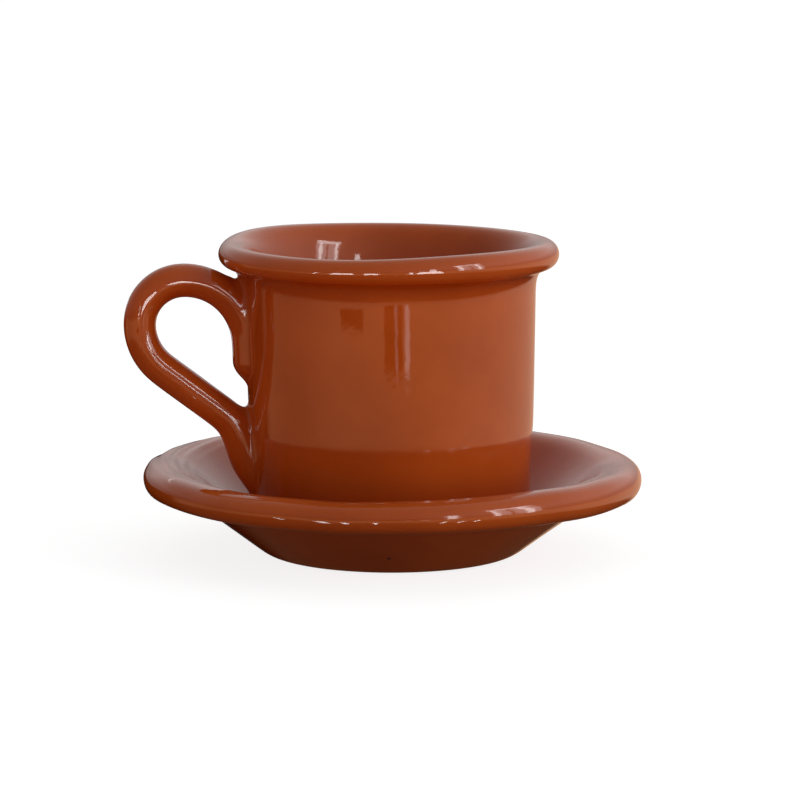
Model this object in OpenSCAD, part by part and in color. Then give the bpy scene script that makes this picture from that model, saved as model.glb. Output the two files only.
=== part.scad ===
// Espresso cup on its saucer, thrown in red earthenware and glazed, with a pulled rod handle.
// It stands on the table: the origin is the centre of the saucer's base, +Z is up,
// and the handle points along -X.

/* [Saucer] */
// Diameter over the saucer's lip
saucer_d = 106; // [88:1:130]
// Height of the lip's top above the table
saucer_h = 19.3; // [16:0.1:24]
// Thickness of the saucer's floor under the cup
saucer_floor_t = 6.6; // [5.5:0.1:8]
// Thickness of the saucer's bowl beside the flat seat, square to its slope
bowl_t = 2.62; // [2:0.02:3.2]
// Thickness of the rolled lip
lip_t = 6.4; // [5.2:0.1:7.8]
// Width of the rolled lip on the underside, from its edge in to the cone
lip_under_w = 9.4; // [7.8:0.1:11.4]
// Width of the lip on the upper side, from its edge in to the bowl
lip_top_w = 9.2; // [6:0.1:10.8]
// How far the lip falls from its top to the bowl's edge
lip_fall = 1.3; // [0.6:0.1:1.8]
// How far the base stands in from the edge of the flat seat
base_inset = 4.4; // [3.6:0.1:6.4]
// Clearance round the cup's foot on the flat seat
seat_clear = 1.8; // [0.8:0.1:4]

/* [Cup] */
// Height of the cup from its foot to the top of its rim
cup_h = 60; // [50:0.5:72]
// Diameter over the rolled rim
rim_d = 71.8; // [67:0.1:86]
// Diameter of the wall just under the rim
neck_d = 61.4; // [54:0.1:64]
// Diameter of the wall at the foot
foot_d = 58.2; // [50:0.1:70]
// Thickness of the wall
wall_t = 3.8; // [3:0.1:5]
// Thickness of the cup's floor
cup_floor_t = 5; // [3.5:0.1:7]
// Thickness of the rolled rim
rim_t = 5.5; // [4.4:0.1:6.6]

/* [Handle] */
// Thickness of the pulled rod, in the plane of its loop
rod_d = 7; // [5.5:0.1:8.4]
// Width of the pulled rod, across its loop
rod_w = 7.8; // [6:0.1:9.6]
// How far the top of the handle lies below the top of the rim
handle_drop = 4.4; // [3.5:0.1:9]
// Radius of the upper root, from the wall to the top of the loop
root_bend_r = 14; // [11.5:0.1:17]
// Radius of the bow at the top of the loop
bow_r = 9.1; // [7.5:0.1:11]
// Radius of the bow below its widest point
lower_bow_r = 12.2; // [10:0.1:14.6]
// How far the pressed tongue runs down the wall from the upper root
tongue_len = 3.4; // [2:0.1:8]
// Height from the widest point of the bow down to where the arm turns into the tail
arm_fall = 20.2; // [17:0.1:24]
// How far out from the wall the arm turns into the tail
tail_stand = 4.5; // [3.7:0.1:5.5]
// Radius of the turn from the arm into the tail
tail_bend_r = 12; // [9:0.1:14.5]
// Height of the tail's lower end above the cup's foot
tail_h = 5; // [4:0.1:7]

/* [Edges] */
// Rounding reach at the edge of the saucer's base
base_ease = 1.8; // [0.6:0.1:2.4]
// Rounding reach where the saucer's cone meets the lip's underside
cone_ease = 3; // [1.5:0.1:4]
// Rounding reach at the edge of the saucer's flat seat
seat_ease = 1.2; // [0.6:0.1:1.5]
// Rounding reach at the inner edge of the saucer's lip
lip_ease = 2.4; // [1.2:0.1:3]
// Rounding reach at the edge of the cup's foot
foot_ease = 1.6; // [0.8:0.1:2.2]
// Rounding reach in the corner under the rim
neck_ease = 2.4; // [1.2:0.1:2.6]
// Rounding reach at the rim's inner edge, along its top
mouth_ease = 5.6; // [1.5:0.1:7]
// How far down the inside the rounding of the rim's inner edge runs
mouth_depth = 16; // [3:0.5:24]
// Rounding reach in the corner between the wall and the floor inside the cup
inside_ease = 7; // [4:0.1:9]

/* [Hidden] */
$fn = 64;
clay = [0.62, 0.29, 0.14];
clay_dark = [0.54, 0.24, 0.11];

// Degrees between the points of an arc, and between the rings of a round end
arc_step = 7.5;
dome_step = 15;
// Steps along an eased corner, and sides of the rod
ease_steps = 8;
rod_sides = 24;
// Most of a step's width that the rounding in its corner may take
most_of_step = 0.9;

function unit(v) = v / norm(v);
function heading(v) = atan2(v[1], v[0]);
function polar(r, a) = r * [cos(a), sin(a)];
// Points along a circle, from one angle to another
function arc(centre, r, from, to) =
    let (n = ceil(abs(to - from) / arc_step))
    [for (i = [0 : n]) centre + polar(r, from + (to - from) * i / n)];
// A list without its first point, to follow one that ends there
function after_first(list) = [for (i = [1 : len(list) - 1]) list[i]];
// A smooth turn at corner b between a and c, which starts at a reach before b and ends at one after it
function eased(a, b, c, before, after) =
    let (p = b + before * unit(a - b), q = b + after * unit(c - b))
    [for (i = [0 : ease_steps])
        let (t = i / ease_steps)
        (1 - t) * (1 - t) * p + 2 * t * (1 - t) * b + t * t * q];

// Levels and radii of the cup, which stands on the saucer's floor
foot_z = saucer_floor_t;
rim_z = foot_z + cup_h;
rim_under_z = rim_z - rim_t;
foot_r = foot_d / 2;
neck_r = neck_d / 2;
rim_centre = [rim_d / 2 - rim_t / 2, rim_z - rim_t / 2];
mouth_r = neck_r - wall_t;
function wall_r(z) = foot_r + (neck_r - foot_r) * (z - foot_z) / (rim_under_z - foot_z);

// Outside of the cup, from just above the foot's rounding up to the top of the rim
neck_corner = [neck_r, rim_under_z];
neck_reach = min(neck_ease, most_of_step * (rim_centre[0] - neck_r));
cup_outside = concat(
    eased([foot_r, foot_z], neck_corner, [rim_centre[0], rim_under_z], neck_reach, neck_reach),
    arc(rim_centre, rim_t / 2, -90, 90));

// Levels and radii of the saucer, whose flat seat follows the cup's foot
seat_edge = [foot_r + seat_clear, saucer_floor_t];
base_edge = [seat_edge[0] - base_inset, 0];
lip_centre = [saucer_d / 2 - lip_t / 2, saucer_h - lip_t / 2];
cone_top = [saucer_d / 2 - lip_under_w, saucer_h - lip_t];
bowl_top = [saucer_d / 2 - lip_top_w, saucer_h - lip_fall];
// The underside passes the edge of the seat at the bowl's thickness
heel = seat_edge + polar(bowl_t, heading(bowl_top - seat_edge) - 90);

// Centre line of the handle, in the plane y = 0 as [x, z]
rod_r = rod_d / 2;
loop_top_z = rim_z - handle_drop - rod_r;
root_z = loop_top_z - root_bend_r;
tongue_x = -wall_r(root_z);
root_centre = [tongue_x - root_bend_r, root_z];
bow_centre = [root_centre[0], loop_top_z - bow_r];
lower_centre = bow_centre + [lower_bow_r - bow_r, 0];
turn_z = bow_centre[1] - arm_fall;
turn = [-wall_r(turn_z) - tail_stand, turn_z];
tail_end_z = foot_z + tail_h;
tail_end = [-wall_r(tail_end_z) + rod_r, tail_end_z];
// The arm leaves the bow along the tangent that runs to the turn
to_turn = turn - lower_centre;
arm_start_a = 360 + heading(to_turn) - acos(lower_bow_r / norm(to_turn));
arm_start = lower_centre + polar(lower_bow_r, arm_start_a);
arm_a = heading(turn - arm_start);
tail_a = heading(tail_end - turn);
turn_reach = tail_bend_r * tan((arm_a - tail_a) / 2);
arm_end = turn - polar(turn_reach, arm_a);
tail_centre = arm_end + polar(tail_bend_r, arm_a - 90);
// The tail runs on past its end by this much, so that its cut face is buried in the wall
tail_overrun = rod_r / 2;
// The whole centre line as [x, z, size], from the tongue's round end to the tail.
// The size is 1 on the full rod.
rod_path = concat(
    [for (a = [dome_step : dome_step : 90]) [tongue_x, root_z - tongue_len - rod_r * cos(a), sin(a)]],
    [for (p = concat(
        arc(root_centre, root_bend_r, 0, 90),
        after_first(arc(bow_centre, bow_r, 90, 180)),
        after_first(arc(lower_centre, lower_bow_r, 180, arm_start_a)),
        arc(tail_centre, tail_bend_r, arm_a + 90, tail_a + 90),
        [tail_end + polar(tail_overrun, tail_a)])) [p[0], p[1], 1]]);
// The part of the handle inside the cup is cut away down to this level
cut_floor_z = foot_z - rod_d;

module saucer() {
    color(clay_dark)
    rotate_extrude()
    polygon(concat(
        [[0, 0]],
        eased([0, 0], base_edge, heel, base_ease, base_ease),
        [heel],
        eased(heel, cone_top, [lip_centre[0], cone_top[1]], cone_ease, cone_ease),
        arc(lip_centre, lip_t / 2, -90, 90),
        eased([lip_centre[0], saucer_h], bowl_top, seat_edge, lip_ease, lip_ease),
        eased(bowl_top, seat_edge, [0, saucer_floor_t], seat_ease, seat_ease),
        [[0, saucer_floor_t]]));
}

module cup_body() {
    foot_edge = [foot_r, foot_z];
    mouth_edge = [mouth_r, rim_z];
    mouth_reach = min(mouth_ease, most_of_step * (rim_centre[0] - mouth_r));
    floor_edge = [foot_r - wall_t, foot_z + cup_floor_t];
    color(clay)
    rotate_extrude()
    polygon(concat(
        [[0, foot_z]],
        eased([0, foot_z], foot_edge, neck_corner, foot_ease, foot_ease),
        cup_outside,
        eased([rim_centre[0], rim_z], mouth_edge, floor_edge, mouth_reach, mouth_depth),
        eased(mouth_edge, floor_edge, [0, floor_edge[1]], inside_ease, inside_ease),
        [[0, floor_edge[1]]]));
}

// One ring of the rod round a point [x, z, size] of its centre line, square to the heading there
function ring(p, a) =
    [for (i = [0 : rod_sides - 1])
        let (turned = 360 * i / rod_sides, out = p[2] * rod_r * cos(turned))
        [p[0] - out * sin(a), p[2] * rod_w / 2 * sin(turned), p[1] + out * cos(a)]];
function flat(p) = [p[0], p[1]];
function ring_heading(path, i) =
    heading(flat(path[min(i + 1, len(path) - 1)]) - flat(path[max(i - 1, 0)]));

// The pulled rod along its whole centre line
module rod(path) {
    last = len(path) - 1;
    polyhedron(
        points = [for (i = [0 : last]) each ring(path[i], ring_heading(path, i))],
        faces = concat(
            [[for (k = [0 : rod_sides - 1]) k]],
            [for (i = [0 : last - 1], k = [0 : rod_sides - 1])
                let (a = i * rod_sides + k, b = i * rod_sides + (k + 1) % rod_sides)
                each [[a, a + rod_sides, b], [b, a + rod_sides, b + rod_sides]]],
            [[for (k = [rod_sides - 1 : -1 : 0]) last * rod_sides + k]]));
}

// The filled cup without the rounding of its foot, which the handle is seated on
module cup_blank() {
    rotate_extrude()
    polygon(concat([[0, cut_floor_z], [wall_r(cut_floor_z), cut_floor_z]], cup_outside, [[0, rim_z]]));
}

module handle() {
    color(clay)
    difference() {
        rod(rod_path);
        cup_blank();
    }
}

saucer();
cup_body();
handle();
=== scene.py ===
import math

import bpy
import mathutils
import numpy as np
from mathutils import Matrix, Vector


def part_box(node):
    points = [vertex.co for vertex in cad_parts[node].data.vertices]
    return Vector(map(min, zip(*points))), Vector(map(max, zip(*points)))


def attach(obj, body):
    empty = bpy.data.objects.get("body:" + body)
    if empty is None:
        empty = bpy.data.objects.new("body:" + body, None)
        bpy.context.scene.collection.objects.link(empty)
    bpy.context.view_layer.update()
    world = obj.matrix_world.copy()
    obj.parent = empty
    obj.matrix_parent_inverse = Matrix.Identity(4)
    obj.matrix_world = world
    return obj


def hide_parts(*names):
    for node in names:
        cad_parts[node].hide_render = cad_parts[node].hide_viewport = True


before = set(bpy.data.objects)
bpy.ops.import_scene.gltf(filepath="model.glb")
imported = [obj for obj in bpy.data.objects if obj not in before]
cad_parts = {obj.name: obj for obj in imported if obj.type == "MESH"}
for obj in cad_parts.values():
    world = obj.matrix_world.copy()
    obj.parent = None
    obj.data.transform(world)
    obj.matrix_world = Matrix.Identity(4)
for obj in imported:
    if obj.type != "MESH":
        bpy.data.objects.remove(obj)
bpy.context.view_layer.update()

MM = 0.001


def node_box(name):
    lo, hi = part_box(name)
    return np.array(lo) / MM, np.array(hi) / MM


# Driving sizes in millimetres, from the CAD frame
_, saucer_hi = node_box("saucer")
cup_lo, cup_hi = node_box("cup_body")
handle_lo, handle_hi = node_box("handle")
SAUCER_R = saucer_hi[0]
LIP_Z = saucer_hi[2]
FOOT_Z = cup_lo[2]
RIM_R = cup_hi[0]
RIM_Z = cup_hi[2]
HANDLE_REACH = -handle_lo[0]
HANDLE_TOP = handle_hi[2]
ROD_W = handle_hi[1] - handle_lo[1]

# Camera as fitted to the photo: turn round the object, angle above the table, distance, lens, where the aim lands in
# the frame, and the nearest and furthest it sees in metres
CAMERA_TURN = math.radians(-9.0)
CAMERA_RISE = math.radians(8.638)
CAMERA_DISTANCE = 858.6
AIM_Z = 31.8
SENSOR = 36.0
LENS = 182.26
FRAME_PX = 800
AIM_PX = (391.9, 403.0)
CLIP = (0.05, 30.0)


# Small tools for outlines and surfaces
def smoothstep(a, b, x):
    t = np.clip((x - a) / (b - a), 0.0, 1.0)
    return t * t * (3.0 - 2.0 * t)


def bump(x, centre, width):
    return np.exp(-(((x - centre) / width) ** 2))


def turn_bump(a, centre, width):
    """A bump round a turn, which is measured the shorter way round."""
    return bump((a - centre + np.pi) % (2 * np.pi) - np.pi, 0.0, width)


def around(a, heights):
    """A smooth wave that has the given heights at even places round a full turn."""
    parts = np.fft.rfft(heights) / len(heights)
    wave = parts[0].real * np.ones_like(a)
    for k in range(1, len(parts)):
        share = 1.0 if 2 * k == len(heights) else 2.0
        wave = wave + share * (parts[k].real * np.cos(k * a) - parts[k].imag * np.sin(k * a))
    return wave


def waves(a, parts, shape=np.cos):
    """A sum of waves round a turn, each given as its height, its count and its phase."""
    return sum(height * shape(count * a + phase) for height, count, phase in parts)


def arc(centre, r, start, end, step=3.0):
    """Points along a circle, with all angles in degrees."""
    n = max(2, int(abs(end - start) / step))
    a = np.radians(np.linspace(start, end, n + 1))
    return np.stack([centre[0] + r * np.cos(a), centre[1] + r * np.sin(a)], 1)


def bend(a, b, c, n=16):
    """A smooth turn from a to c at the corner b."""
    t = np.linspace(0.0, 1.0, n + 1)[:, None]
    return (1 - t) ** 2 * np.array(a) + 2 * t * (1 - t) * np.array(b) + t * t * np.array(c)


def toward(a, b, reach):
    """The point that lies a reach from a on the way to b."""
    d = np.array(b) - np.array(a)
    return np.array(a) + reach * d / np.linalg.norm(d)


def along(points):
    """How far along a line each of its points lies."""
    return np.concatenate([[0.0], np.cumsum(np.linalg.norm(np.diff(points, axis=0), axis=1))])


# Points no further apart than this count as one
SAME_POINT = 1e-9


def resample(points, step):
    """The same line with its points at even steps."""
    s = along(points)
    keep = np.concatenate([[True], np.diff(s) > SAME_POINT])
    s, points = s[keep], points[keep]
    at = np.linspace(0.0, s[-1], int(round(s[-1] / step)) + 1)
    return np.stack([np.interp(at, s, points[:, i]) for i in range(points.shape[1])], 1)


def soften(points, sigma, step):
    """Rounds an evenly spaced line by a Gaussian that reaches to 4 sigma, with both ends held."""
    n = int(4 * sigma / step)
    k = np.exp(-0.5 * (np.arange(-n, n + 1) * step / sigma) ** 2)
    k /= k.sum()
    head = 2 * points[0] - points[n:0:-1]
    tail = 2 * points[-1] - points[-2 : -n - 2 : -1]
    long = np.concatenate([head, points, tail])
    return np.stack([np.convolve(long[:, i], k, "valid") for i in range(points.shape[1])], 1)


def hollow_of(profile, sigma, step):
    """How concave the outline is at each point, in 1/mm: above 0 in a corner where glaze pools, below 0 on an edge."""
    line = soften(profile, sigma, step)
    d = np.gradient(line, step, axis=0)
    dd = np.gradient(d, step, axis=0)
    return -(d[:, 0] * dd[:, 1] - d[:, 1] * dd[:, 0])


def make_mesh(name, verts, faces, layers):
    mesh = bpy.data.meshes.new(name)
    mesh.from_pydata((verts * MM).tolist(), [], faces)
    mesh.polygons.foreach_set("use_smooth", [True] * len(mesh.polygons))
    for key, values in layers.items():
        mesh.attributes.new(key, "FLOAT", "POINT").data.foreach_set("value", np.asarray(values, np.float32))
    mesh.validate()
    mesh.update()
    piece = bpy.data.objects.new(name, mesh)
    bpy.context.collection.objects.link(piece)
    return piece


# Sides of the turned pieces
SIDES = 224


def lathe(name, profile, shape, pool_and_shade):
    """Turns an outline that starts and ends on the axis into a closed surface, each ring put in its place by shape."""
    turn = np.linspace(0.0, 2 * np.pi, SIDES, endpoint=False)
    inner = profile[1:-1]
    r = np.repeat(inner[:, 0], SIDES)
    z = np.repeat(inner[:, 1], SIDES)
    a = np.tile(turn, len(inner))
    rings = shape(r, z, a)
    ends = shape(np.zeros(2), profile[[0, -1], 1], np.zeros(2))
    verts = np.concatenate([rings, ends])
    first, last = len(rings), len(rings) + 1
    base = (len(inner) - 1) * SIDES
    faces = []
    for k in range(SIDES):
        m = (k + 1) % SIDES
        faces.append((first, m, k))
        faces.append((last, base + k, base + m))
    for i in range(len(inner) - 1):
        lo, hi = i * SIDES, (i + 1) * SIDES
        for k in range(SIDES):
            m = (k + 1) % SIDES
            faces.append((lo + k, lo + m, hi + m, hi + k))
    # Per point: how much the glaze pools, and on the cup the painted shade low on its outer wall
    glaze = np.concatenate([np.repeat(pool_and_shade[1:-1], SIDES), [pool_and_shade[0], pool_and_shade[-1]]])
    return make_mesh(name, verts, faces, {"pool_and_shade": glaze})


# The cup's outline, from the middle of its foot up the wall, over the rim and down to the middle of its floor
BEAD_T = 5.7
BEAD = (RIM_R - BEAD_T / 2, RIM_Z - BEAD_T / 2)
BEAD_UNDER_Z = RIM_Z - BEAD_T
WALL_T = 3.8
CUP_FLOOR_Z = FOOT_Z + 5.0
FOOT_EASE = 1.6
WALL_LOW = (29.5, FOOT_Z + 6.4)
WALL_HIGH = (30.62, FOOT_Z + 48.0)
NECK_REACH = (2.2, 5.0)
MOUTH_REACH = (5.6, 16.0)
INSIDE_EASE = 7.0
# A slight step that the thrower left in the wall, above the saucer's lip
STEP_Z = FOOT_Z + 18.6
STEP_OUT = 0.18
STEP_LEN = 2.0
# Points up the wall and round the mouth, the even step of the whole outline, and how far its corners are softened
WALL_POINTS = 60
MOUTH_POINTS = 32
CUP_STEP = 0.42
CUP_SOFTEN = 0.7


def wall_line(z):
    slope = (WALL_HIGH[0] - WALL_LOW[0]) / (WALL_HIGH[1] - WALL_LOW[1])
    return WALL_LOW[0] + slope * (z - WALL_LOW[1]) + STEP_OUT * np.tanh((z - STEP_Z) / STEP_LEN)


def cup_profile():
    neck_z = BEAD_UNDER_Z - NECK_REACH[1]
    foot_r = wall_line(FOOT_Z)
    neck_r = wall_line(BEAD_UNDER_Z)
    inside_r = neck_r - WALL_T
    floor_r = foot_r - WALL_T
    low_z = FOOT_Z + FOOT_EASE
    wall_z = np.linspace(low_z, neck_z, WALL_POINTS)
    mouth_low = (inside_r, RIM_Z - MOUTH_REACH[1])
    line = np.concatenate([
        [[0.0, FOOT_Z]],
        bend((foot_r - FOOT_EASE, FOOT_Z), (foot_r, FOOT_Z), (wall_line(low_z), low_z)),
        np.stack([wall_line(wall_z), wall_z], 1),
        bend((wall_line(neck_z), neck_z), (neck_r, BEAD_UNDER_Z), (neck_r + NECK_REACH[0], BEAD_UNDER_Z)),
        arc(BEAD, BEAD_T / 2, -90, 90),
        bend((inside_r + MOUTH_REACH[0], RIM_Z), (inside_r, RIM_Z), mouth_low, MOUTH_POINTS),
        bend((floor_r, CUP_FLOOR_Z + INSIDE_EASE), (floor_r, CUP_FLOOR_Z), (floor_r - INSIDE_EASE, CUP_FLOOR_Z)),
        [[0.0, CUP_FLOOR_Z]],
    ])
    return soften(resample(line, CUP_STEP), CUP_SOFTEN, CUP_STEP)


# Right and front of the picture, in the plane of the table
ACROSS = np.array([math.cos(CAMERA_TURN), math.sin(CAMERA_TURN)])
RIGHT = math.atan2(ACROSS[1], ACROSS[0])
FRONT = RIGHT - math.pi / 2
# How far the rim leans to the right, how the lean grows with height, and the height where it stops, in cup heights
CUP_LEAN = -0.76
LEAN_POWER = 1.6
LEAN_STOP = 1.2
# How far the rim's top stands above true, at each eighth of a turn from the right of the picture through the back
RIM_LEVEL = (0.0, 0.0, 0.1, 0.6, 0.0, -0.65, -0.3, 0.23)
LEVEL_WAVES = ((0.06, 5, 1.9),)
LEVEL_SPAN = (BEAD_UNDER_Z + 0.5, RIM_Z - 0.8)
# Waves that make the wall and the rim less than round, with the heights over which the rim's own set in
WALL_WAVES = ((0.10, 2, 0.7), (0.06, 3, -1.1))
RIM_WAVES = ((0.05, 7, 2.0),)
RIM_SPAN = (BEAD_UNDER_Z - 4.0, BEAD_UNDER_Z + 1.0)
# Throwing rings that wind up the wall, with the span over which they set in, in cup heights
RING_H = 0.002
RING_PITCH = 6.8
RING_SPAN = (0.03, 0.12)
# Radius from which the waves have their full height
WAVES_R = 12.0


def cup_lean(z):
    """How far the cup leans along the picture's width at a height."""
    return CUP_LEAN * np.clip((z - FOOT_Z) / (RIM_Z - FOOT_Z), 0.0, LEAN_STOP) ** LEAN_POWER


def cup_wobble(z, a):
    """How far the thrown wall stands out from a true round."""
    up = (z - FOOT_Z) / (RIM_Z - FOOT_Z)
    rim = smoothstep(*RIM_SPAN, z)
    oval = up * waves(a, WALL_WAVES) + rim * waves(a, RIM_WAVES)
    rings = RING_H * np.sin(2 * np.pi * z / RING_PITCH + a) * smoothstep(*RING_SPAN, up) * (1 - rim)
    return oval + rings


def cup_shape(r, z, a):
    rr = r + cup_wobble(z, a) * smoothstep(0.0, WAVES_R, r)
    top = smoothstep(*LEVEL_SPAN, z)
    level = top * (around(a - RIGHT, RIM_LEVEL) + waves(a, LEVEL_WAVES, np.sin))
    x = rr * np.cos(a) + cup_lean(z) * ACROSS[0]
    y = rr * np.sin(a) + cup_lean(z) * ACROSS[1]
    return np.stack([x, y, z + level], 1)


# Glaze pools in the corners, and the outer wall gets painted shade towards the foot, where the saucer's well shades it
CUP_POOL_SIZE = 1.2
WELL_SHADE = 0.3
WELL_SHADE_SPAN = (FOOT_Z + 18.0, FOOT_Z + 7.0)
cup_line = cup_profile()
cup_order = np.arange(len(cup_line))
cup_widest = np.argmax(cup_line[:, 0])
# Painted shade: the outer wall darkens from the span's top down to the foot, standing in for the saucer's well
painted_well_shade = WELL_SHADE * smoothstep(*WELL_SHADE_SPAN, cup_line[:, 1]) * (cup_order < cup_widest)
cup_pools_and_shade = hollow_of(cup_line, CUP_POOL_SIZE, CUP_STEP) + painted_well_shade
cup_body = lathe("cup_glazed", cup_line, cup_shape, cup_pools_and_shade)

# The saucer's outline, from the middle of its base out to the lip and back to the middle of its seat
LIP_T = 6.4
LIP_UNDER_W = 9.4
LIP_TOP_W = 9.2
LIP_FALL = 1.3
CROWN_W = 5.4
CROWN_RISE = 0.55
SEAT_CLEAR = 1.8
BASE_INSET = 4.4
LIP = (SAUCER_R - LIP_T / 2, LIP_Z - LIP_T / 2)
CONE_TOP = (SAUCER_R - LIP_UNDER_W, LIP_Z - LIP_T)
BOWL_TOP = (SAUCER_R - LIP_TOP_W, LIP_Z - LIP_FALL)
CROWN = (SAUCER_R - CROWN_W, LIP_Z + CROWN_RISE)
SEAT = (wall_line(FOOT_Z) + SEAT_CLEAR, FOOT_Z)
BASE_R = SEAT[0] - BASE_INSET
# How far up the lip's round edge goes in degrees, and the reaches of the turns before and after the other corners
EDGE_END = 74
BASE_REACH = 2.0
CONE_REACH = 3.0
BOWL_REACH = (1.2, 3.0)
SEAT_REACH = (4.0, 1.4)
SAUCER_STEP = 0.5
SAUCER_SOFTEN = 0.8
SAUCER_POOL_SIZE = 1.5
# Waves that make the saucer less than round and less than level, and the radii over which they set in
SAUCER_WAVES = ((0.14, 2, 2.1), (0.10, 3, 0.3), (0.05, 8, 1.0), (0.05, 13, 0.4), (0.04, 21, 2.2))
LIP_WAVES = ((0.05, 11, 0.7), (0.03, 17, 0.0))
OUT_SPAN = (BASE_R + 4.0, SAUCER_R - 4.0)
# Radii and heights over which the lip's top begins
TOP_SPAN = (SAUCER_R - 13.0, SAUCER_R - 8.0)
TOP_RISE = (LIP[1] - 1.0, LIP_Z - 0.6)
# How far the whole lip, and its top alone, stand above true at each eighth of a turn, as on the rim
LIP_LEVEL = (-0.5, 0.26, 0.1, 0.1, 0.0, -0.15, -0.3, -0.26)
CREST_LEVEL = (0.3, 0.0, 0.0, 0.0, 0.0, -0.2, -0.05, 0.5)
# Ridges on the lip at the left of the picture: their middle and spread round it, height, spacing and run along it
RIDGE_AT = math.pi - 0.22
RIDGE_SPREAD = 0.42
RIDGE_H = 0.15
RIDGE_STEP = 2.4
RIDGE_RUN = 4.5
# A shallow groove in the lip's top at the right
GROOVE_R = SAUCER_R - 6.6
GROOVE_W = 1.3
GROOVE_AT = math.radians(-29.0)
GROOVE_SPREAD = 0.26
GROOVE_H = 0.50


def saucer_profile():
    base = (BASE_R, 0.0)
    lip_under = (LIP[0], CONE_TOP[1])
    edge = arc(LIP, LIP_T / 2, -90, EDGE_END)
    crown_end = toward(BOWL_TOP, CROWN, BOWL_REACH[0])
    line = np.concatenate([
        [[0.0, 0.0]],
        bend(toward(base, (0.0, 0.0), BASE_REACH), base, toward(base, CONE_TOP, BASE_REACH)),
        bend(toward(CONE_TOP, base, CONE_REACH), CONE_TOP, toward(CONE_TOP, lip_under, CONE_REACH)),
        edge,
        bend(edge[-1], CROWN, crown_end),
        bend(crown_end, BOWL_TOP, toward(BOWL_TOP, SEAT, BOWL_REACH[1])),
        bend(toward(SEAT, BOWL_TOP, SEAT_REACH[0]), SEAT, toward(SEAT, (0.0, FOOT_Z), SEAT_REACH[1])),
        [[0.0, FOOT_Z]],
    ])
    return soften(resample(line, SAUCER_STEP), SAUCER_SOFTEN, SAUCER_STEP)


def saucer_shape(r, z, a):
    out = smoothstep(*OUT_SPAN, r)
    top = smoothstep(*TOP_SPAN, r) * smoothstep(*TOP_RISE, z)
    seen = a - RIGHT
    oval = out * waves(a, SAUCER_WAVES)
    level = out * (around(seen, LIP_LEVEL) + waves(a, LIP_WAVES, np.sin))
    level = level + top * around(seen, CREST_LEVEL)
    # Throwing ridges run round the lip and fade out of its edge on the left
    turns = 2 * np.pi * (r + RIDGE_RUN * seen) / RIDGE_STEP
    ridges = top * RIDGE_H * turn_bump(seen, RIDGE_AT, RIDGE_SPREAD) * np.sin(turns)
    groove = -GROOVE_H * top * bump(r, GROOVE_R, GROOVE_W) * turn_bump(seen, GROOVE_AT, GROOVE_SPREAD)
    rr = r + oval
    return np.stack([rr * np.cos(a), rr * np.sin(a), z + level + ridges + groove], 1)


saucer_line = saucer_profile()
saucer_pools = hollow_of(saucer_line, SAUCER_POOL_SIZE, SAUCER_STEP)
saucer = lathe("saucer_glazed", saucer_line, saucer_shape, saucer_pools)

# The handle's centre line in the plane of its loop, as reach and height
ROD_R = 3.5
BOW_REACH = HANDLE_REACH - 0.25
LOOP_TOP_Z = HANDLE_TOP + 0.2 - ROD_R
ROOT_BEND_R = 13.7
BOW_R = 9.35
LOWER_BOW_R = 11.9
TONGUE_LEN = 3.7
ARM_FALL = 21.0
TAIL_STAND = 3.3
TAIL_BEND_R = 9.5
# The tail runs down steeply to its knee and from there in to its round end in the wall
KNEE_STAND = 0.95
KNEE_Z = FOOT_Z + 12.1
KNEE_REACH = 2.5
TAIL_IN = 2.2
TAIL_Z = FOOT_Z + 8.9
ROOT_Z = LOOP_TOP_Z - ROOT_BEND_R
ROD_STEP = 0.45
ROD_SOFTEN = 1.3
# Swellings of the pulled rod, each a share of its thickness, a length and a phase
ROD_SWELL = ((0.02, 9.0, 0.4), (0.012, 3.7, 0.0))


def handle_path():
    bow = (BOW_REACH - ROD_R - BOW_R, LOOP_TOP_Z - BOW_R)
    root = (bow[0], ROOT_Z)
    low = (bow[0] + BOW_R - LOWER_BOW_R, bow[1])
    turn_z = bow[1] - ARM_FALL
    turn = np.array([wall_line(turn_z) + TAIL_STAND, turn_z])
    knee = np.array([wall_line(KNEE_Z) + KNEE_STAND, KNEE_Z])
    tail = np.array([wall_line(TAIL_Z) - TAIL_IN, TAIL_Z])
    to_turn = turn - np.array(low)
    leave = math.atan2(to_turn[1], to_turn[0]) + math.acos(LOWER_BOW_R / np.linalg.norm(to_turn))
    start = np.array(low) + LOWER_BOW_R * np.array([math.cos(leave), math.sin(leave)])
    arm_way = (turn - start) / np.linalg.norm(turn - start)
    tail_way = (knee - turn) / np.linalg.norm(knee - turn)
    half = 0.5 * math.acos(float(arm_way @ tail_way))
    reach = TAIL_BEND_R * math.tan(half)
    line = np.concatenate([
        [[root[0] - ROOT_BEND_R, ROOT_Z - TONGUE_LEN]],
        arc(root, ROOT_BEND_R, 180, 90),
        arc(bow, BOW_R, 90, 0),
        arc(low, LOWER_BOW_R, 0, math.degrees(leave)),
        bend(turn - reach * arm_way, turn, turn + reach * tail_way),
        bend(toward(knee, turn, KNEE_REACH), knee, toward(knee, tail, KNEE_REACH)),
        [tail],
    ])
    return soften(resample(line, ROD_STEP), ROD_SOFTEN, ROD_STEP)


# The rod and the wall as distances: the clay is smoothed out between them over BLEND in the plane of the loop
# and over SIDE_BLEND at the rod's sides, and the handle's own surface ends SINK inside the wall
BLEND = 3.4
SIDE_BLEND = 1.5
BLEND_SPREAD = 0.6 * ROD_W / 2
SINK = 1.2
JOINT_POOL = 0.22
# The grid that the handle's surface is found on: its cells, the room round the rod, the reach of the wall's distance
# in blends, and the rounds in which the surface's points are evened out
CELL = 0.36
GRID_MARGIN = 3 * CELL
SWELL_ROOM = 0.3
WALL_REACH = 1.2
SETTLE_ROUNDS = 4
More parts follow.
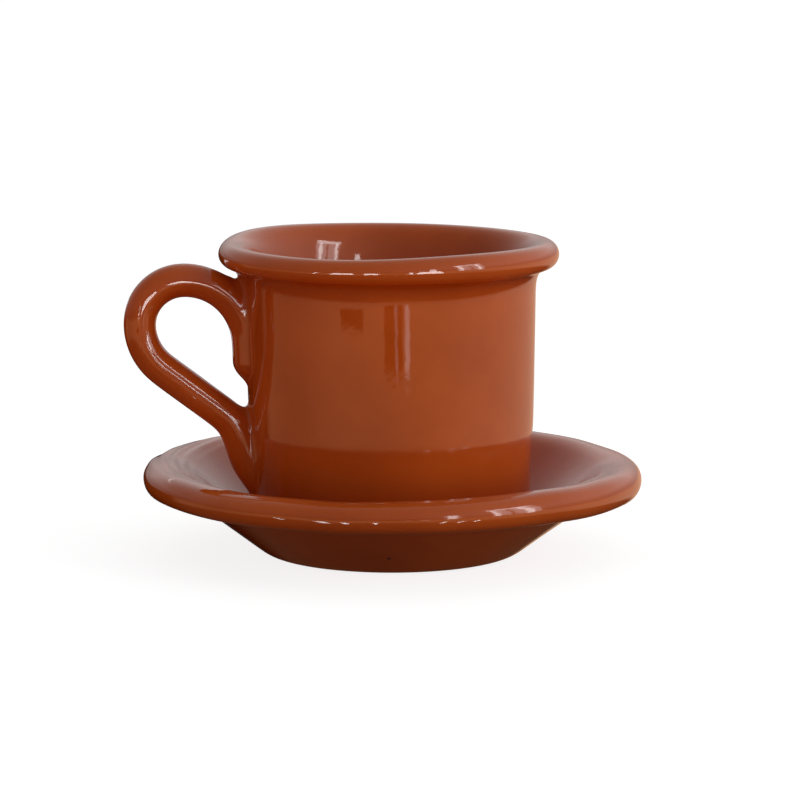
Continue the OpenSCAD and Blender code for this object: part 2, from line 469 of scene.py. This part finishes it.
# The wall from just above the foot up to the rim, where it goes on straight up
FROM_Z = FOOT_Z + 0.3
NECK_R = 32.2
rod_path = handle_path()
rod_along = along(rod_path)
rising = cup_line[(cup_line[:, 1] > FROM_Z) & (cup_order <= cup_widest)]
outside = np.concatenate([rising[rising[:, 0] < NECK_R], [[NECK_R, RIM_Z]]])


def nearest(points, line):
    """Distance to a line of short steps, below 0 on its left, and the nearest place on it, counted in steps."""
    best = np.full(len(points), np.inf)
    at = np.zeros(len(points))
    left = np.zeros(len(points))
    for i, (a, b) in enumerate(zip(line[:-1], line[1:])):
        way = b - a
        from_a = points - a
        t = np.clip(from_a @ way / (way @ way), 0.0, 1.0)
        d = np.hypot(from_a[:, 0] - t * way[0], from_a[:, 1] - t * way[1])
        near = d < best
        best[near] = d[near]
        at[near] = i + t[near]
        left[near] = (way[0] * from_a[:, 1] - way[1] * from_a[:, 0])[near]
    return np.where(left > 0, -best, best), at


# Keeps the distance on the rod's centre line from a division by 0
NOT_ZERO = 1e-6


def rod_distance(d, at, across):
    """Distance to the rod's surface, from the distance to its centre line and the place on that."""
    s = np.interp(at, np.arange(len(rod_path)), rod_along)
    size = 1.0 + sum(share * np.sin(s / length + phase) for share, length, phase in ROD_SWELL)
    thick, wide = ROD_R * size, ROD_W / 2 * size
    k = np.hypot(d / thick, across / wide) + NOT_ZERO
    return (k - 1.0) * k / (np.hypot(d / thick**2, across / wide**2) + NOT_ZERO)


def wall_distance(points):
    a = np.arctan2(points[:, 1], points[:, 0])
    r = np.hypot(points[:, 0], points[:, 1]) - cup_wobble(points[:, 2], a + math.pi)
    return nearest(np.stack([r, points[:, 2]], 1), outside)[0]


def blend_at(across):
    return SIDE_BLEND + (BLEND - SIDE_BLEND) * bump(across, 0.0, BLEND_SPREAD)


def joined(h, c, across):
    """Below 0 in the clay of the handle, from the distances to the rod and to the wall."""
    blend = blend_at(across)
    both = np.minimum(h, c) - np.clip(blend - np.abs(h - c), 0.0, None) ** 2 / (4 * blend)
    return np.maximum(np.maximum(both, -(c + SINK)), h - blend)


def handle_field(points):
    h = rod_distance(*nearest(points[:, [0, 2]], rod_path), points[:, 1])
    return joined(h, wall_distance(points), points[:, 1])


def net(values, origin, cell):
    """The surface where a grid of values passes through 0, as points and four-sided faces."""
    cells = np.array(values.shape) - 1
    total = np.zeros((cells.prod(), 3))
    count = np.zeros(cells.prod())
    quads = []
    for axis in range(3):
        lo = np.delete(values, -1, axis)
        hi = np.delete(values, 0, axis)
        at = np.argwhere((lo < 0) != (hi < 0))
        v, w = lo[tuple(at.T)], hi[tuple(at.T)]
        point = at.astype(float)
        point[:, axis] += v / (v - w)
        ring = []
        for b, c in ((0, 0), (1, 0), (1, 1), (0, 1)):
            beside = at.copy()
            beside[:, (axis + 1) % 3] -= b
            beside[:, (axis + 2) % 3] -= c
            index = np.ravel_multi_index(tuple(beside.T), tuple(cells))
            np.add.at(total, index, point)
            np.add.at(count, index, 1)
            ring.append(index)
        ring = np.stack(ring, 1)
        ring[v > 0] = ring[v > 0, ::-1]
        quads.append(ring)
    used = np.flatnonzero(count)
    place = np.zeros(len(count), int)
    place[used] = np.arange(len(used))
    return origin + cell * total[used] / count[used, None], place[np.concatenate(quads)]


# How far aside a field is read to find its slope, and the least that the slope's square is taken to be
PROBE = 0.01
LEAST_SLOPE = 0.2


def settle(points, faces, field, rounds):
    """Evens out a net's points and lays them back on the surface."""
    pairs = faces[:, [0, 1, 1, 2, 2, 3, 3, 0]].reshape(-1, 2)
    count = np.bincount(pairs[:, 0], minlength=len(points))
    for k in range(rounds):
        total = np.zeros_like(points)
        np.add.at(total, pairs[:, 0], points[pairs[:, 1]])
        if k < rounds - 1:
            points = 0.5 * points + 0.5 * total / count[:, None]
        value = field(points)
        slope = np.stack([(field(points + PROBE * e) - value) / PROBE for e in np.eye(3)], 1)
        points = points - slope * (value / np.maximum((slope**2).sum(1), LEAST_SLOPE))[:, None]
    return points


def handle_mesh():
    lo = np.array([outside[:, 0].min() - SINK, -ROD_W / 2 - BLEND, TAIL_Z - ROD_R - BLEND]) - GRID_MARGIN
    hi = np.array([BOW_REACH, ROD_W / 2 + BLEND, LOOP_TOP_Z + ROD_R + SWELL_ROOM]) + GRID_MARGIN
    axes = [np.arange(a, b, CELL) for a, b in zip(lo, hi)]
    flat = np.stack(np.meshgrid(axes[0], axes[2], indexing="ij"), 2).reshape(-1, 2)
    d, at = nearest(flat, rod_path)
    shape = [len(a) for a in axes]
    d = np.broadcast_to(d.reshape(shape[0], 1, shape[2]), shape)
    at = np.broadcast_to(at.reshape(shape[0], 1, shape[2]), shape)
    across = np.broadcast_to(axes[1][None, :, None], shape)
    h = rod_distance(d, at, across)
    values = h - BLEND
    near = h < WALL_REACH * BLEND
    points = np.stack(np.meshgrid(*axes, indexing="ij"), 3)[near]
    values[near] = joined(h[near], wall_distance(points), points[:, 1])
    verts, faces = net(values, lo, CELL)
    verts = settle(verts, faces, handle_field, SETTLE_ROUNDS)
    h = rod_distance(*nearest(verts[:, [0, 2]], rod_path), verts[:, 1])
    pooled = np.clip(1.0 - np.abs(h - wall_distance(verts)) / blend_at(verts[:, 1]), 0.0, 1.0) ** 2
    z = verts[:, 2]
    x = -verts[:, 0] + cup_lean(z) * ACROSS[0]
    y = -verts[:, 1] + cup_lean(z) * ACROSS[1]
    return make_mesh("handle_glazed", np.stack([x, y, z], 1), faces.tolist(), {"pool_and_shade": JOINT_POOL * pooled})


handle = handle_mesh()

# The glaze: its clouded colour as stops over a noise, and its colour where it pooled, which is also used as painted
# shade low on the cup's outer wall. Then its colour where it is thin on an edge, and the pooling value, painted shade
# included, where each of these begins and is full. A noise is its scale, its detail and its roughness.
IOR = 1.5
CLOUD_NOISE = (38.0, 4.0, 0.55)
CLOUDS = ((0.3, (0.46, 0.072, 0.0085)), (0.5, (0.53, 0.088, 0.010)), (0.72, (0.60, 0.106, 0.0125)))
POOL_AND_SHADE_COLOUR = (0.30, 0.036, 0.004, 1)
POOL_AND_SHADE_SPAN = (0.02, 0.45)
THIN_COLOUR = (0.60, 0.125, 0.020, 1)
THIN_SPAN = (-0.15, -0.5)
# Dark specks, one in each cell of a pattern, which show only where a noise is high
SPECK_COLOUR = (0.12, 0.022, 0.006, 1)
SPECK_CELLS = 210.0
SPECK_EDGE = (0.03, 0.08)
SPECK_NOISE = (95.0, 1.0, 0.5)
SPECK_SPAN = (0.68, 0.73)
SPECK_MOST = 0.6
# A pinhole under the saucer, by its radius, its height and its turn from the front, with its soft edge
PINHOLE_R, PINHOLE_Z, PINHOLE_TURN = 32.4, 4.5, FRONT + math.radians(-1.1)
PINHOLE = (PINHOLE_R * math.cos(PINHOLE_TURN) * MM, PINHOLE_R * math.sin(PINHOLE_TURN) * MM, PINHOLE_Z * MM)
PINHOLE_COLOUR = (0.05, 0.010, 0.004, 1)
PINHOLE_EDGE = (0.3 * MM, 0.6 * MM)
PINHOLE_MOST = 0.9
# How rough the gloss is from place to place, and the slight waviness of its surface
ROUGH_NOISE = (60.0, 3.0, 0.5)
ROUGH_SPAN = (0.3, 0.7)
ROUGH = (0.045, 0.085)
PEEL_NOISE = (420.0, 2.0, 0.5)
PEEL_STRENGTH = 0.05
PEEL_DEPTH = 0.4 * MM
# Sockets of Blender's Mix node when it mixes colours
MIX_FACTOR, MIX_A, MIX_B, MIX_RESULT = 0, 6, 7, 2


def set_stops(ramp, stops):
    """Gives a new colour ramp its stops, each a place from 0 to 1 and a colour."""
    ramp.elements.remove(ramp.elements[1])
    for i, (at, colour) in enumerate(stops):
        stop = ramp.elements[0] if i == 0 else ramp.elements.new(at)
        stop.position = at
        stop.color = (*colour, 1)


def glaze_material():
    mat = bpy.data.materials.new("glazed_earthenware")
    mat.use_nodes = True
    tree = mat.node_tree
    tree.nodes.clear()
    out = tree.nodes.new("ShaderNodeOutputMaterial")
    shader = tree.nodes.new("ShaderNodeBsdfPrincipled")
    tree.links.new(shader.outputs[0], out.inputs[0])
    shader.inputs["IOR"].default_value = IOR
    place = tree.nodes.new("ShaderNodeTexCoord")

    def noise(scale, detail, rough):
        n = tree.nodes.new("ShaderNodeTexNoise")
        n.inputs["Scale"].default_value = scale
        n.inputs["Detail"].default_value = detail
        n.inputs["Roughness"].default_value = rough
        tree.links.new(place.outputs["Object"], n.inputs["Vector"])
        return n.outputs["Fac"]

    def spread(source, span, low, high):
        """Values from low to high as the source passes through the span."""
        n = tree.nodes.new("ShaderNodeMapRange")
        for key, value in zip(("From Min", "From Max", "To Min", "To Max"), (*span, low, high)):
            n.inputs[key].default_value = value
        tree.links.new(source, n.inputs["Value"])
        return n.outputs[0]

    def paint(under, share, colour):
        """The colour painted over what is under it, as strongly as the share says."""
        n = tree.nodes.new("ShaderNodeMix")
        n.data_type = "RGBA"
        tree.links.new(share, n.inputs[MIX_FACTOR])
        tree.links.new(under, n.inputs[MIX_A])
        n.inputs[MIX_B].default_value = colour
        return n.outputs[MIX_RESULT]

    clouds = tree.nodes.new("ShaderNodeValToRGB")
    set_stops(clouds.color_ramp, CLOUDS)
    tree.links.new(noise(*CLOUD_NOISE), clouds.inputs[0])
    pool_and_shade = tree.nodes.new("ShaderNodeAttribute")
    pool_and_shade.attribute_name = "pool_and_shade"
    # Darker where the glaze pools, and low on the cup's outer wall as painted shade
    colour = paint(clouds.outputs[0], spread(pool_and_shade.outputs["Fac"], POOL_AND_SHADE_SPAN, 0.0, 1.0), POOL_AND_SHADE_COLOUR)
    colour = paint(colour, spread(pool_and_shade.outputs["Fac"], THIN_SPAN, 0.0, 1.0), THIN_COLOUR)
    cells = tree.nodes.new("ShaderNodeTexVoronoi")
    cells.inputs["Scale"].default_value = SPECK_CELLS
    tree.links.new(place.outputs["Object"], cells.inputs["Vector"])
    speck = tree.nodes.new("ShaderNodeMath")
    speck.operation = "MULTIPLY"
    tree.links.new(spread(cells.outputs["Distance"], SPECK_EDGE, 1.0, 0.0), speck.inputs[0])
    tree.links.new(spread(noise(*SPECK_NOISE), SPECK_SPAN, 0.0, SPECK_MOST), speck.inputs[1])
    colour = paint(colour, speck.outputs[0], SPECK_COLOUR)
    pin = tree.nodes.new("ShaderNodeVectorMath")
    pin.operation = "DISTANCE"
    pin.inputs[1].default_value = PINHOLE
    tree.links.new(place.outputs["Object"], pin.inputs[0])
    colour = paint(colour, spread(pin.outputs["Value"], PINHOLE_EDGE, PINHOLE_MOST, 0.0), PINHOLE_COLOUR)
    tree.links.new(colour, shader.inputs["Base Color"])
    tree.links.new(spread(noise(*ROUGH_NOISE), ROUGH_SPAN, *ROUGH), shader.inputs["Roughness"])
    peel = tree.nodes.new("ShaderNodeBump")
    peel.inputs["Strength"].default_value = PEEL_STRENGTH
    peel.inputs["Distance"].default_value = PEEL_DEPTH
    tree.links.new(noise(*PEEL_NOISE), peel.inputs["Height"])
    tree.links.new(peel.outputs[0], shader.inputs["Normal"])
    return mat


glaze = glaze_material()
PIECES = ((saucer, "saucer", "saucer"), (cup_body, "cup", "cup_body"), (handle, "cup", "handle"))
for piece, body, cad_node in PIECES:
    piece.data.materials.append(glaze)
    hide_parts(cad_node)
    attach(piece, body)

# Stage: a pale floor, the light of a room, windows on the camera's side, and cards that only show in the glaze.
# The floor's half width in metres, its grey and its glow to the camera
FLOOR_HALF = 6.0
FLOOR_GREY = 0.42
FLOOR_GLOW = 0.84
floor_mesh = bpy.data.meshes.new("floor")
floor_mesh.from_pydata([(-FLOOR_HALF, -FLOOR_HALF, 0), (FLOOR_HALF, -FLOOR_HALF, 0),
                        (FLOOR_HALF, FLOOR_HALF, 0), (-FLOOR_HALF, FLOOR_HALF, 0)], [], [(0, 1, 2, 3)])
floor = bpy.data.objects.new("floor", floor_mesh)
bpy.context.collection.objects.link(floor)
# The table top as it lights the clay: in the saucer's shadow near it and lighter further out
TABLE_COLOUR = (1.0, 0.55, 0.28)
TABLE_NEAR = 0.10
TABLE_FAR = 0.48
TABLE_SPAN = (55.0, 135.0)
# The room that the glaze reflects, as the sine of a height and a colour there, then its least and most strength,
# and the side where it is strongest, counted from the right of the picture through the back, with the span over
# which the strength rises, as the cosine from that side.
# Below the horizon it is warm wood with the dark under the table's edge, above it walls and a dim ceiling.
WOOD = ((-0.36, (0.12, 0.07, 0.04)), (-0.29, (1.0, 0.53, 0.27)), (-0.04, (1.0, 0.53, 0.27)), (0.02, (0.0, 0.0, 0.0)))
FAR = ((-0.36, (0.0, 0.0, 0.0)), (-0.29, (1.0, 1.0, 1.0)), (-0.04, (1.0, 1.0, 1.0)), (0.02, (0.0, 0.0, 0.0)))
WALLS = ((-0.04, (0.0, 0.0, 0.0)), (0.02, (0.45, 0.45, 0.45)), (0.12, (0.6, 0.6, 0.6)), (0.26, (1.0, 1.0, 1.0)),
         (0.50, (0.9, 0.9, 0.9)), (0.90, (0.60, 0.60, 0.60)))
ROOM = (
    (WOOD, 0.0, 0.62, math.radians(-60.0), (-0.88, -0.78)),
    (WOOD, 0.0, 0.53, math.radians(-60.0), (-0.6, 0.4)),
    (FAR, 0.0, 0.24, math.radians(20.0), (0.0, 1.0)),
    (WALLS, 0.22, 0.92, math.radians(38.0), (-1.0, 1.0)),
)


def floor_material():
    """White to the camera, and to the clay the warm light of a table top."""
    mat = bpy.data.materials.new("pale_floor")
    mat.use_nodes = True
    tree = mat.node_tree
    tree.nodes.clear()
    out = tree.nodes.new("ShaderNodeOutputMaterial")
    matt = tree.nodes.new("ShaderNodeBsdfDiffuse")
    matt.inputs["Color"].default_value = (FLOOR_GREY, FLOOR_GREY, FLOOR_GREY, 1)
    place = tree.nodes.new("ShaderNodeNewGeometry")
    out_from_cup = tree.nodes.new("ShaderNodeVectorMath")
    out_from_cup.operation = "LENGTH"
    tree.links.new(place.outputs["Position"], out_from_cup.inputs[0])
    light = tree.nodes.new("ShaderNodeMapRange")
    light.interpolation_type = "SMOOTHSTEP"
    for key, value in (("From Min", TABLE_SPAN[0] * MM), ("From Max", TABLE_SPAN[1] * MM),
                       ("To Min", TABLE_NEAR), ("To Max", TABLE_FAR)):
        light.inputs[key].default_value = value
    tree.links.new(out_from_cup.outputs["Value"], light.inputs["Value"])
    wood = tree.nodes.new("ShaderNodeEmission")
    wood.inputs["Color"].default_value = (*TABLE_COLOUR, 1)
    tree.links.new(light.outputs[0], wood.inputs["Strength"])
    path = tree.nodes.new("ShaderNodeLightPath")
    glow = tree.nodes.new("ShaderNodeEmission")
    glow.inputs["Strength"].default_value = FLOOR_GLOW
    both = tree.nodes.new("ShaderNodeAddShader")
    tree.links.new(matt.outputs[0], both.inputs[0])
    tree.links.new(glow.outputs[0], both.inputs[1])
    pick = tree.nodes.new("ShaderNodeMixShader")
    tree.links.new(path.outputs["Is Camera Ray"], pick.inputs[0])
    tree.links.new(wood.outputs[0], pick.inputs[1])
    tree.links.new(both.outputs[0], pick.inputs[2])
    tree.links.new(pick.outputs[0], out.inputs[0])
    return mat


floor_mesh.materials.append(floor_material())
# The glaze reflects the room's wood in place of the floor
floor.visible_glossy = False

# The room is white to the camera
scene = bpy.context.scene
world = bpy.data.worlds.new("room")
scene.world = world
world.use_nodes = True
wt = world.node_tree
wt.nodes.clear()
w_out = wt.nodes.new("ShaderNodeOutputWorld")
w_way = wt.nodes.new("ShaderNodeTexCoord")
w_split = wt.nodes.new("ShaderNodeSeparateXYZ")
w_up = wt.nodes.new("ShaderNodeMapRange")
w_up.inputs["From Min"].default_value = -1.0
wt.links.new(w_way.outputs["Generated"], w_split.inputs[0])
wt.links.new(w_split.outputs["Z"], w_up.inputs["Value"])


def surround(look, least, most, turn, span):
    """One layer of the room, as the comment on ROOM says."""
    colours = wt.nodes.new("ShaderNodeValToRGB")
    set_stops(colours.color_ramp, [(0.5 + 0.5 * height, colour) for height, colour in look])
    side = wt.nodes.new("ShaderNodeVectorMath")
    side.operation = "DOT_PRODUCT"
    side.inputs[1].default_value = (math.cos(RIGHT + turn), math.sin(RIGHT + turn), 0.0)
    level = wt.nodes.new("ShaderNodeMapRange")
    level.interpolation_type = "SMOOTHSTEP"
    for key, value in (("From Min", span[0]), ("From Max", span[1]), ("To Min", least), ("To Max", most)):
        level.inputs[key].default_value = value
    shade = wt.nodes.new("ShaderNodeBackground")
    wt.links.new(w_up.outputs[0], colours.inputs[0])
    wt.links.new(w_way.outputs["Generated"], side.inputs[0])
    wt.links.new(side.outputs["Value"], level.inputs["Value"])
    wt.links.new(colours.outputs[0], shade.inputs["Color"])
    wt.links.new(level.outputs[0], shade.inputs["Strength"])
    return shade.outputs[0]


w_room = surround(*ROOM[0])
for layer in ROOM[1:]:
    w_sum = wt.nodes.new("ShaderNodeAddShader")
    wt.links.new(w_room, w_sum.inputs[0])
    wt.links.new(surround(*layer), w_sum.inputs[1])
    w_room = w_sum.outputs[0]
w_white = wt.nodes.new("ShaderNodeBackground")
w_white.inputs["Color"].default_value = (1, 1, 1, 1)
w_path = wt.nodes.new("ShaderNodeLightPath")
w_pick = wt.nodes.new("ShaderNodeMixShader")
wt.links.new(w_path.outputs["Is Camera Ray"], w_pick.inputs[0])
wt.links.new(w_room, w_pick.inputs[1])
wt.links.new(w_white.outputs[0], w_pick.inputs[2])
wt.links.new(w_pick.outputs[0], w_out.inputs[0])


# How far off the windows are, in metres
WINDOW_DISTANCE = 1.8


def pane(name, azimuth, elevation, wide, high, radiance, distance=WINDOW_DISTANCE):
    """A window of the given size in degrees, seen from the cup at an azimuth right of the camera and an elevation."""
    a = CAMERA_TURN + math.radians(azimuth)
    e = math.radians(elevation)
    back = np.array([math.sin(a) * math.cos(e), -math.cos(a) * math.cos(e), math.sin(e)])
    lamp = bpy.data.lights.new(name, "AREA")
    lamp.shape = "RECTANGLE"
    lamp.size = 2 * distance * math.tan(math.radians(wide / 2))
    lamp.size_y = 2 * distance * math.tan(math.radians(high / 2))
    lamp.energy = radiance * math.pi * lamp.size * lamp.size_y
    o = bpy.data.objects.new(name, lamp)
    bpy.context.collection.objects.link(o)
    o.location = back * distance + np.array([0, 0, AIM_Z * MM])
    o.rotation_mode = "QUATERNION"
    o.rotation_quaternion = mathutils.Vector(back).to_track_quat("Z", "Y")
    o.visible_camera = False
    return o


def window(name, azimuth, elevation, wide, high, radiance, columns=1, rows=1, bar=0.0, lights=True, shows=True):
    """A window divided by bars, all measured in degrees, which lights the clay, shows in the glaze or both."""
    w = (wide - bar * (columns - 1)) / columns
    h = (high - bar * (rows - 1)) / rows
    for i in range(columns):
        for k in range(rows):
            at = azimuth - wide / 2 + w / 2 + i * (w + bar)
            up = elevation - high / 2 + h / 2 + k * (h + bar)
            part = pane(f"{name}_{i}{k}", at, up, w, h, radiance)
            part.visible_diffuse = lights
            part.visible_glossy = shows


window("window_right", azimuth=57.0, elevation=17.0, wide=21.0, high=36.0, radiance=2.7, columns=2, bar=2.0,
       shows=False)
window("panes_right", azimuth=57.0, elevation=14.0, wide=21.0, high=30.0, radiance=2.3, columns=2, bar=2.0,
       lights=False)
window("frame_top", azimuth=57.0, elevation=31.0, wide=19.0, high=4.0, radiance=7.0, lights=False)
window("frame_side", azimuth=56.0, elevation=13.0, wide=17.0, high=32.0, radiance=7.0, columns=2, bar=12.0,
       lights=False)
window("window_mid", azimuth=28.5, elevation=9.0, wide=4.5, high=20.0, radiance=8.0, lights=False)
window("window_left", azimuth=-34.0, elevation=20.0, wide=5.0, high=36.0, radiance=4.0, rows=2, bar=2.0, shows=False)


def ring_place(azimuth, out, z):
    """A place round the cup at an azimuth right of the camera, a distance from the cup's axis and a height."""
    a = CAMERA_TURN + math.radians(azimuth)
    return np.array([out * math.sin(a), -out * math.cos(a), z]) * MM


def glints(name, places, out, low, high, radiance, tilt=0.0):
    """Cards round the cup at a distance from its axis, each an azimuth and a width in degrees.

    A tilt above 0 turns them to face down, and one below 0 to face up."""
    for i, (azimuth, wide) in enumerate(places):
        card = pane(f"{name}_{i}", azimuth, tilt, wide, wide, radiance, out * MM)
        card.data.size_y = (high - low) / math.cos(math.radians(tilt)) * MM
        card.data.energy = radiance * math.pi * card.data.size * card.data.size_y
        card.location = ring_place(azimuth, out, 0.5 * (low + high))
        card.visible_diffuse = False


# Bright edges of things in front show as glints on the rim, and nearer the table on the lip.
# The cards for the rim face up and those for the lip face down, so that to the camera each shows on its own edge only.
GLINT_RADIANCE = 12.0
RIM_GLINTS = ((-43.0, 1.8), (-26.4, 12.5), (-9.4, 7.6), (11.9, 1.6), (22.5, 13.0))
LIP_GLINTS = ((-34.2, 1.0), (-21.3, 3.4), (-13.6, 2.0), (-4.2, 1.0), (15.5, 1.2), (20.9, 0.9), (25.2, 0.9))
glints("rim_glint", RIM_GLINTS, out=112.0, low=47.0, high=66.0, radiance=GLINT_RADIANCE, tilt=-58.0)
glints("lip_glint", LIP_GLINTS, out=75.0, low=0.5, high=10.0, radiance=GLINT_RADIANCE, tilt=46.0)
# Upright streaks on the wall, just in front of the dark cards, and a line down the wall behind the handle
DARK_OUT = 240.0
STREAK_OUT = DARK_OUT - 2.0
STREAK_Z = (0.9, 19.0)
glints("streak", ((12.6, 3.6),), STREAK_OUT, *STREAK_Z, radiance=1.9)
glints("streak_dim", ((4.6, 1.8),), STREAK_OUT, *STREAK_Z, radiance=1.1)
glints("handle_line", ((-120.0, 9.0),), out=80.0, low=36.0, high=58.0, radiance=1.4, tilt=-58.0)


def dark_card(name, azimuth, wide, low, high):
    """A dark thing in front that shows in the glaze only."""
    left, right = azimuth - wide / 2, azimuth + wide / 2
    outline = ((left, low), (right, low), (right, high), (left, high))
    corners = [ring_place(turn, DARK_OUT, z) for turn, z in outline]
    mesh = bpy.data.meshes.new(name)
    mesh.from_pydata([tuple(c) for c in corners], [], [(0, 1, 2, 3)])
    black = bpy.data.materials.new(name)
    black.use_nodes = True
    unlit = black.node_tree.nodes.new("ShaderNodeEmission")
    unlit.inputs["Strength"].default_value = 0.0
    black.node_tree.links.new(unlit.outputs["Emission"], black.node_tree.nodes["Material Output"].inputs["Surface"])
    mesh.materials.append(black)
    card = bpy.data.objects.new(name, mesh)
    bpy.context.collection.objects.link(card)
    card.visible_camera = False
    card.visible_diffuse = False
    card.visible_shadow = False


dark_card("dark_mid", azimuth=2.4, wide=13.4, low=STREAK_Z[0], high=STREAK_Z[1])
dark_card("dark_left", azimuth=-28.0, wide=17.0, low=11.0, high=STREAK_Z[1])

# Camera
camera = bpy.data.cameras.new("camera")
camera.sensor_width = SENSOR
camera.lens = LENS
camera.shift_x = (FRAME_PX / 2 - AIM_PX[0]) / FRAME_PX
camera.shift_y = (AIM_PX[1] - FRAME_PX / 2) / FRAME_PX
camera.clip_start, camera.clip_end = CLIP
eye = bpy.data.objects.new("camera", camera)
bpy.context.collection.objects.link(eye)
back = np.array([math.sin(CAMERA_TURN) * math.cos(CAMERA_RISE), -math.cos(CAMERA_TURN) * math.cos(CAMERA_RISE),
                 math.sin(CAMERA_RISE)])
eye.location = back * CAMERA_DISTANCE * MM + np.array([0, 0, AIM_Z * MM])
eye.rotation_euler = (math.pi / 2 - CAMERA_RISE, 0.0, CAMERA_TURN)
scene.camera = eye
scene.view_settings.view_transform = "Standard"
